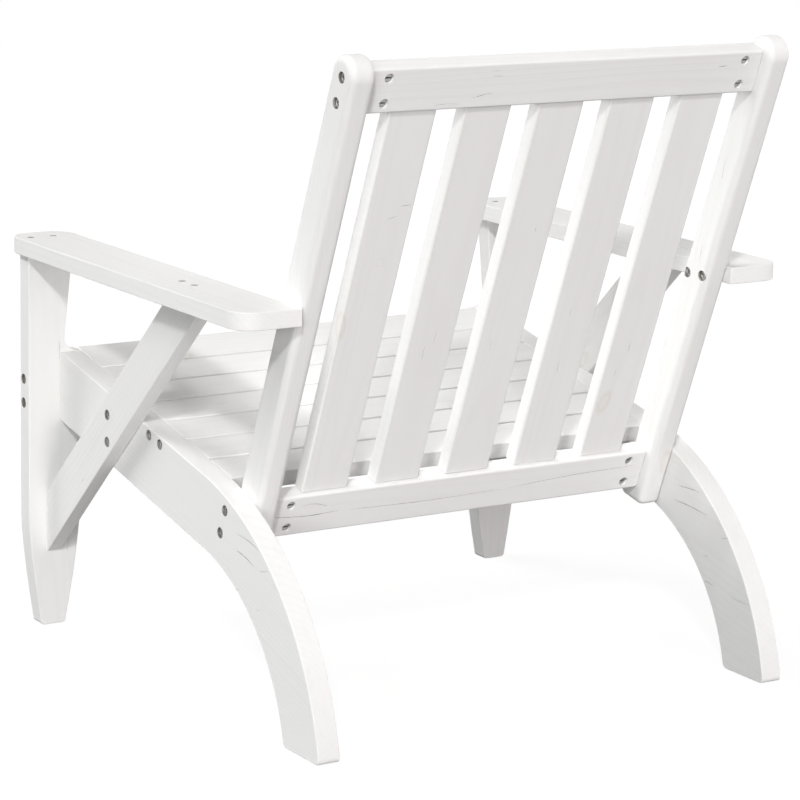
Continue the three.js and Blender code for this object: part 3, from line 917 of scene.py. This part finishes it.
def bolt_boards(bolt):
    """The boards that a bolt passes through, from the one that holds its head."""
    side = "left" if "left" in bolt else "right"
    if bolt.startswith("back_rail_top"):
        return f"back_post_{side}", "back_rail_top"
    if bolt.startswith("back_rail_lower"):
        return f"side_board_{side}", f"back_post_{side}", "back_rail_lower"
    if bolt.startswith("leg"):
        return f"front_leg_{side}", "front_apron"
    if bolt.startswith("brace"):
        return f"arm_brace_{side}", f"side_board_{side}"
    if bolt.startswith("seat"):
        return f"side_board_{side}", "seat_slat_4"
    return f"back_post_{side}", f"armrest_{side}"


def bolt_frame(bolt):
    """Frame at the top of the bolt's head, +Z out along its axis, and the bolt's whole length."""
    low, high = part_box(bolt)
    centre = middle(bolt)
    side = 1 if centre.x > 0 else -1
    out = -side if bolt.startswith("arm_bolt") else side
    head = Vector((high[X] if out > 0 else low[X], centre.y, centre.z))
    return place_along(head, Vector((out, 0, 0)), Vector((0, 1, 0))), high[X] - low[X]


def drill_for_bolt(bolt, seed):
    """Cuts the bolt's stepped hole through its boards, and chips its mouth in the first."""
    place, length = bolt_frame(bolt)
    names = bolt_boards(bolt)
    low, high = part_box(names[0])
    out = place.to_3x3() @ Vector((0, 0, 1))
    face = high[X] if out.x > 0 else low[X]
    sunk = abs(face - place.translation.x)
    hole = HEAD_RADIUS + CLEARANCE
    bore = SHANK_RADIUS + CLEARANCE
    seat = -HEAD_HEIGHT - CLEARANCE
    profile = [(-length - CLEARANCE, bore), (seat, bore), (seat, hole), (sunk + OVERCUT, hole)]
    for name in names:
        # The hole's walls take the dirt colour with painted shade.
        add_skin(boards[name].holes, turned_rings(place, profile), DIRT_AND_SHADE)
    mouth = place @ Matrix.Translation((0, 0, sunk))
    add_chips(boards[names[0]].marks, mouth, hole, seed)


def nut_frame(nut):
    """Frame at the middle of the nut's outer end: +Z out of the rail's rear face, +X level."""
    rail = boards["back_rail_top" if "top" in nut else "back_rail_lower"]
    out = rail.axes[2]
    return place_along(middle(nut) + out * NUT_LENGTH / 2, out, Vector((1, 0, 0))), rail


def nut_radius(nut):
    low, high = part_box(nut)
    return (high[X] - low[X]) / 2


def drill_for_nut(nut, seed):
    """Cuts the nut's pocket into its rail, and chips the pocket's mouth."""
    place, rail = nut_frame(nut)
    sunk = rail.high[2] - (place.translation - rail.centre).dot(rail.axes[2])
    hole = nut_radius(nut) + CLEARANCE
    profile = [(-NUT_LENGTH - CLEARANCE, hole), (sunk + OVERCUT, hole)]
    add_skin(rail.pockets, turned_rings(place, profile), PAINT)
    add_chips(rail.marks, place @ Matrix.Translation((0, 0, sunk)), hole, seed)


def screw_places():
    """(name, board, frame at the wood's surface) of the eight screws in the tops of the arms."""
    places = []
    for side, sign in SIDES:
        arm = boards[f"armrest_{side}"]
        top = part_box(arm.node)[HIGH][Z]
        leg_low, leg_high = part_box(f"front_leg_{side}")
        brace_low, brace_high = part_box(f"arm_brace_{side}")
        leg_y = (leg_low[Y] + leg_high[Y]) / 2
        leg_edge = max(abs(leg_low[X]), abs(leg_high[X]))
        brace_x = (brace_low[X] + brace_high[X]) / 2
        spots = []
        for word, inset in zip(("outer", "inner"), LEG_SCREWS_FROM_EDGE):
            spots.append((f"front_{word}", Vector((sign * (leg_edge - inset), leg_y, top))))
        for word, inset in zip(("back", "fore"), BRACE_SCREWS_FROM_TOP):
            spots.append((f"rear_{word}", Vector((brace_x, brace_high[Y] - inset, top))))
        for word, spot in spots:
            place = place_along(spot, Vector((0, 0, 1)), SCREW_TURN)
            places.append((f"arm_screw_{side}_{word}", arm, place))
    return places


def drill_for_screw(arm, place, seed):
    """Cuts the screw's countersunk hole through the arm, and chips its mouth."""
    head = SCREW_HEAD_RADIUS + CLEARANCE
    bore = SCREW_SHANK_RADIUS + CLEARANCE
    profile = [
        (-arm.high[2] + arm.low[2] - OVERCUT, bore),
        (-SCREW_SUNK - SCREW_HEAD_DEPTH, bore),
        (-SCREW_SUNK - CLEARANCE, head),
        (OVERCUT, head),
    ]
    # The hole's walls take the dirt colour with painted shade.
    add_skin(arm.holes, turned_rings(place, profile), DIRT_AND_SHADE)
    add_chips(arm.marks, place, head, seed)


# ---------------------------------------------------------------- cracks and the knot
def softened(path):
    """The path with points every few millimetres on a smooth curve through the given ones."""
    result = []
    for i in range(len(path) - 1):
        before = path[max(i - 1, 0)]
        start = path[i]
        end = path[i + 1]
        after = path[min(i + 2, len(path) - 1)]
        steps = max(1, round((end - start).length / CRACK_STEP))
        for step in range(steps):
            t = step / steps
            result.append(
                0.5 * (
                    2 * start
                    + (end - before) * t
                    + (2 * before - 5 * start + 4 * end - after) * t ** 2
                    + (3 * start - before - 3 * end + after) * t ** 3
                )
            )
    result.append(path[-1])
    return result


def add_crack(board, side, path, share):
    """A V groove that narrows to both ends, at that share of the usual width and depth.

    path holds (along, across) on the board's broad face.
    """
    line = softened([Vector(p) for p in path])
    seed = board.random.uniform(0, 99)
    rings = []
    for i, place in enumerate(line):
        along = i / (len(line) - 1)
        uneven = 0.75 + 0.5 * noise.noise(Vector((i * 0.7, seed, 0)))
        swell = max(CRACK_LEAST, (0.04 + math.sin(math.pi * along) ** CRACK_BLUNTNESS) * uneven)
        ahead = (line[min(i + 1, len(line) - 1)] - line[max(i - 1, 0)]).normalized()
        across = Vector((-ahead.y, ahead.x))
        centre = place + across * (CRACK_WOBBLE * noise.noise(Vector((i * 0.9, seed, 7))))
        half = across * (CRACK_WIDTH * share * swell)
        depth = CRACK_DEPTH * share * swell
        ring = []
        for spot, height in ((centre - half, depth), (centre, -depth), (centre + half, depth)):
            ring.append(board.face_place(spot.x, spot.y, side) @ Vector((0, 0, height)))
        rings.append(ring)
    # The groove takes the dirt colour with painted shade.
    add_skin(board.marks, rings, DIRT_AND_SHADE)


def add_knot(board, side, along, across, radius):
    """A ring groove where the knot's edge has shrunk back from the wood round it."""
    place = board.face_place(along, across, side)
    seed = board.random.uniform(0, 99)
    above = Vector((0, 0, KNOT_GROOVE))
    rings = []
    for step in range(KNOT_STEPS):
        angle = math.tau * step / KNOT_STEPS
        out = Vector((math.cos(angle) * KNOT_STRETCH, math.sin(angle), 0))
        uneven = 1 + 0.12 * noise.noise(out * 1.5 + Vector((0, 0, seed)))
        centre = out * (radius * uneven)
        aside = out.normalized() * KNOT_GROOVE
        deep = KNOT_GROOVE * (0.6 + 0.5 * noise.noise(out * 2 + Vector((5, 0, seed))))
        spots = (centre - aside + above, centre - Vector((0, 0, deep)), centre + aside + above)
        rings.append([place @ spot for spot in spots])
    rings.append(rings[0])
    add_skin(board.marks, rings, BARE, closed=False)


# Each long crack on a board's outer or rear face: its share of the usual width, where it starts along
# and across the board from its middle, its run along it, its drift across it and its bow. Millimetres.
# The places were marked in the photograph and carried onto the boards with the fitted camera.
CRACKS = [
    ("side_board_left", 1.0, 103, 72, 51, 6, 2),
    ("side_board_left", 1.0, 110, 55, 41, 1, 1.5),
    ("side_board_left", 0.7, 158, 58, 17, 8, -2),
    ("side_board_left", 0.5, 119, 13, 9, 5, 0),
    ("side_board_left", 0.5, 164, 13, 10, 5, 0),
    ("side_board_left", 0.5, 186, 60, 10, -5, 0),
    ("side_board_right", 1.0, 117, 55, 40, 9, 0.5),
    ("side_board_right", 1.0, 114, 36, 64, 8, 1),
    ("side_board_right", 0.7, 207, 29, 12, 6, 0),
    ("side_board_right", 0.7, 183, -4, 9, 4, 0),
    ("side_board_right", 0.8, 190, -32, 21, 2, 1),
    ("side_board_right", 0.5, 237, -28, 41, 7, -1.5),
    ("back_rail_lower", 1.1, 160, 0, 86, 2, -3),
    ("back_rail_lower", 0.75, -50, -1, 200, 0, -2),
    ("back_rail_lower", 0.65, -236, 7, 176, -8, 2),
    ("back_rail_lower", 0.6, 178, 8, 35, 4, 3),
    ("back_rail_top", 0.75, 95, -8, 24, -5, 0.5),
    ("back_rail_top", 0.5, 132, -19, 31, 0, 1),
    ("back_rail_top", 0.45, 91, 17, 13, 0, 0),
    ("back_rail_top", 0.45, 84, 10, 17, 1, 0),
    ("back_rail_top", 0.8, -202, 9, 13, -1, 0),
    ("back_slat_1", 0.6, 118, -11, 1, -15, 0),
    ("back_slat_1", 0.7, 103, 1, 4, -11, 0),
]


def crack_path(along, across, run, drift, bow):
    """Three points (along, across) on a face: the start, the bowed middle and the end."""
    return [(along, across), (along + run / 2, across + drift / 2 + bow), (along + run, across + drift)]


def add_marks():
    """The cracks and the knot that the photograph shows, then small random ones on other faces."""
    for name, share, *path in CRACKS:
        points = crack_path(*[value * MM for value in path])
        add_crack(boards[name], 1, points, share)
    add_knot(boards["back_slat_1"], 1, *KNOT_PLACE, KNOT_RADIUS)
    plain = {name for name, *_ in CRACKS}
    for node, board in boards.items():
        length = board.high[0] - board.low[0]
        width = board.high[1] - board.low[1]
        if width < CRACKED_WIDTH or node.startswith("side_board"):
            continue
        for side in (-1, 1):
            if side == 1 and node in plain:
                continue
            for _ in range(SMALL_CRACKS_PER_FACE):
                start = board.random.uniform(-0.40, 0.34) * length
                across = board.random.uniform(-0.24, 0.24) * width
                run = board.random.uniform(*SMALL_CRACK_RUN)
                drift = board.random.uniform(-0.08, 0.08) * run
                points = crack_path(start, across, run, drift, drift / 2)
                add_crack(board, side, points, SMALL_CRACK)


# ---------------------------------------------------------------- pieces
def add_piece(name, mesh, replaced=None, place=None):
    """A piece of the chair, standing for the CAD node replaced."""
    piece = bpy.data.objects.new(name, mesh)
    bpy.context.scene.collection.objects.link(piece)
    if place:
        piece.matrix_world = place
    if replaced:
        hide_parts(replaced)
    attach(piece, "root")
    weigh = piece.modifiers.new("even shading", "WEIGHTED_NORMAL")
    weigh.keep_sharp = True
    return piece


def add_wood(board):
    """The board, carved from its rounded blank."""
    node = board.node
    blank = rounded_blank(node, thickness_axis(node), edge_round(node))
    mesh = carved(blank, (board.holes, board.pockets, board.marks))
    board.grain_attribute(mesh)
    mesh.shade_smooth()
    mesh.set_sharp_from_angle(angle=SHARP)
    add_piece(node + "_wood", mesh, node)


# ---------------------------------------------------------------- bolts, nuts and screws
def hexagon(radius):
    """Radius of a hexagon by angle, given the radius to its corners."""
    def reach(angle):
        off_flat = (angle % (math.pi / 3)) - math.pi / 6
        return radius * math.cos(math.pi / 6) / math.cos(off_flat)
    return reach


def threaded(depth):
    """Radius of a helical thread at that depth, by angle."""
    def reach(angle):
        phase = (depth / THREAD_PITCH + angle / math.tau) % 1
        return THREAD_ROOT + (SHANK_RADIUS - THREAD_ROOT) * (1 - abs(2 * phase - 1))
    return reach


def bolt_mesh(length):
    """A bolt with a chamfered round head, a hexagon socket and a thread. +Z is out of the head."""
    profile = [
        (-SOCKET_DEPTH - SOCKET_POINT, 0),
        (-SOCKET_DEPTH, hexagon(SOCKET_RADIUS)),
        (-SOCKET_CHAMFER, hexagon(SOCKET_RADIUS)),
        (0, hexagon(SOCKET_RADIUS + SOCKET_CHAMFER)),
        (0, HEAD_RADIUS - HEAD_FLAT_INSET),
        (-HEAD_BEVEL_DROP, HEAD_RADIUS - HEAD_BEVEL_INSET),
        (-HEAD_BEVEL_DEPTH, HEAD_RADIUS),
        (-HEAD_HEIGHT + HEAD_UNDER_CHAMFER, HEAD_RADIUS),
        (-HEAD_HEIGHT, HEAD_RADIUS - HEAD_UNDER_CHAMFER),
        (-HEAD_HEIGHT, SHANK_RADIUS),
    ]
    depth = length - THREAD_LENGTH
    profile.append((-depth, SHANK_RADIUS))
    while depth < length - POINT_CHAMFER:
        depth += THREAD_PITCH / THREAD_STEPS
        profile.append((-depth, threaded(depth)))
    profile.append((-length, THREAD_ROOT - POINT_INSET))
    profile.append((-length, 0))
    bm = bmesh.new()
    add_skin(bm, turned_rings(Matrix.Identity(4), profile, SMALL_TURN_STEPS), closed=False)
    finished(bm)
    return steel_mesh(bm, "bolt")


def steel_mesh(bm, name):
    """The finished mesh in steel, with its corners marked for the scuffed edges."""
    bm.normal_update()
    layer = bm.verts.layers.float.new("edge")
    for vert in bm.verts:
        angles = [e.calc_face_angle(0) for e in vert.link_edges]
        vert[layer] = min(1, max(angles) / SCUFFED_ANGLE) if angles else 0
    mesh = to_mesh(bm, name, [STEEL])
    mesh.shade_smooth()
    mesh.set_sharp_from_angle(angle=SHARP)
    return mesh


def rectangle(half_x, half_y, height):
    """Corners of a level rectangle round the Z axis, anticlockwise."""
    corners = ((-half_x, -half_y), (half_x, -half_y), (half_x, half_y), (-half_x, half_y))
    return [Vector((x, y, height)) for x, y in corners]


def nut_mesh(radius, hole_from_end):
    """A cross-drilled barrel nut with a screwdriver slot. +Z is out of its slotted end."""
    profile = [
        (0, radius - NUT_CHAMFER),
        (-NUT_CHAMFER, radius),
        (-NUT_LENGTH + NUT_CHAMFER, radius),
        (-NUT_LENGTH, radius - NUT_CHAMFER),
    ]
    bm = bmesh.new()
    add_skin(bm, turned_rings(Matrix.Identity(4), profile))
    finished(bm)
    blank = to_mesh(bm, "nut", [STEEL])
    hole = bmesh.new()
    across = place_along(Vector((0, 0, -hole_from_end)), Vector((1, 0, 0)), Vector((0, 0, 1)))
    reach = radius + OVERCUT
    lip = radius - NUT_BORE_LIP
    bore = SHANK_RADIUS + CLEARANCE
    flare = bore + NUT_BORE_FLARE
    waist = [(-reach, flare), (-lip, bore), (lip, bore), (reach, flare)]
    add_skin(hole, turned_rings(across, waist, SMALL_TURN_STEPS))
    slot = bmesh.new()
    half = NUT_SLOT_WIDTH / 2
    add_skin(slot, [rectangle(reach, half, height) for height in (-NUT_SLOT_DEPTH, OVERCUT)])
    mesh = carved(blank, (hole, slot))
    bm = bmesh.new()
    bm.from_mesh(mesh)
    return steel_mesh(bm, "barrel_nut")


def screw_mesh():
    """A countersunk wood screw with a cross recess. +Z is out of its head."""
    profile = [
        (0, SCREW_HEAD_RADIUS - SCREW_HEAD_BEVEL),
        (-SCREW_HEAD_BEVEL, SCREW_HEAD_RADIUS),
        (-SCREW_HEAD_RIM, SCREW_HEAD_RADIUS),
        (-SCREW_HEAD_DEPTH, SCREW_SHANK_RADIUS),
    ]
    depth = SCREW_LENGTH * SCREW_THREAD_START
    while depth < SCREW_LENGTH * SCREW_THREAD_END:
        taper = min(1, (SCREW_LENGTH - depth) / SCREW_POINT_LENGTH)
        profile.append((-depth, wood_thread(depth, taper)))
        depth += SCREW_THREAD_STEP
    profile.append((-SCREW_LENGTH, SCREW_POINT_RADIUS))
    bm = bmesh.new()
    add_skin(bm, turned_rings(Matrix.Identity(4), profile, SMALL_TURN_STEPS))
    finished(bm)
    blank = to_mesh(bm, "screw", [STEEL])
    layers = []
    for turn in (0, math.pi / 2):
        wing = bmesh.new()
        around = Matrix.Rotation(turn, 4, "Z")
        rings = []
        for depth, share in ((CROSS_DEPTH, CROSS_TIP_SHARE), (0, 1.0), (-OVERCUT, 1.0)):
            half_long = CROSS_REACH * share
            half_wide = CROSS_WIDTH / 2 * (0.6 + 0.4 * share)
            rings.append([around @ corner for corner in rectangle(half_long, half_wide, -depth)])
        add_skin(wing, rings)
        layers.append(wing)
    mesh = carved(blank, layers)
    bm = bmesh.new()
    bm.from_mesh(mesh)
    return steel_mesh(bm, "wood_screw")


def wood_thread(depth, taper):
    """Radius of a coarse screw thread at that depth, by angle, drawn in towards the point."""
    def reach(angle):
        phase = (depth / SCREW_THREAD_PITCH + angle / math.tau) % 1
        ridge = max(0, 1 - abs(2 * phase - 1) * SCREW_RIDGE_STEEPNESS)
        return taper * (SCREW_SHANK_RADIUS * SCREW_ROOT_SHARE + SCREW_THREAD_HEIGHT * ridge)
    return reach


def add_hardware():
    """Drills every hole, then adds the bolts, the barrel nuts and the screws."""
    bolts = [n for n in HARDWARE if "_bolt_" in n]
    nuts = [n for n in HARDWARE if "_nut_" in n]
    screws = screw_places()
    for seed, bolt in enumerate(bolts):
        drill_for_bolt(bolt, seed * SEED_STEP)
    for seed, nut in enumerate(nuts):
        drill_for_nut(nut, NUT_SEED + seed * SEED_STEP)
    for seed, (name, arm, place) in enumerate(screws):
        drill_for_screw(arm, place, SCREW_SEED + seed * SEED_STEP)

    by_length = {}
    for bolt in bolts:
        place, length = bolt_frame(bolt)
        key = round(length, 5)
        if key not in by_length:
            by_length[key] = bolt_mesh(length)
        twist = Matrix.Rotation(boards["front_apron"].random.uniform(0, math.tau), 4, "Z")
        add_piece(bolt + "_steel", by_length[key], bolt, place @ twist)
    nut_shape = None
    for nut in nuts:
        place, rail = nut_frame(nut)
        if nut_shape is None:
            bolt = nut.replace("_nut_", "_bolt_")
            offset = (place.translation - middle(bolt)).dot(rail.axes[2])
            nut_shape = nut_mesh(nut_radius(nut), offset)
        add_piece(nut + "_steel", nut_shape, nut, place)
    screw_shape = screw_mesh()
    for name, arm, place in screws:
        twist = Matrix.Rotation(arm.random.uniform(0, math.tau), 4, "Z")
        sunk = Matrix.Translation((0, 0, -SCREW_SUNK))
        add_piece(name, screw_shape, None, place @ sunk @ twist)


add_hardware()
add_marks()
for board in boards.values():
    add_wood(board)

bpy.context.scene.view_settings.view_transform = "Standard"
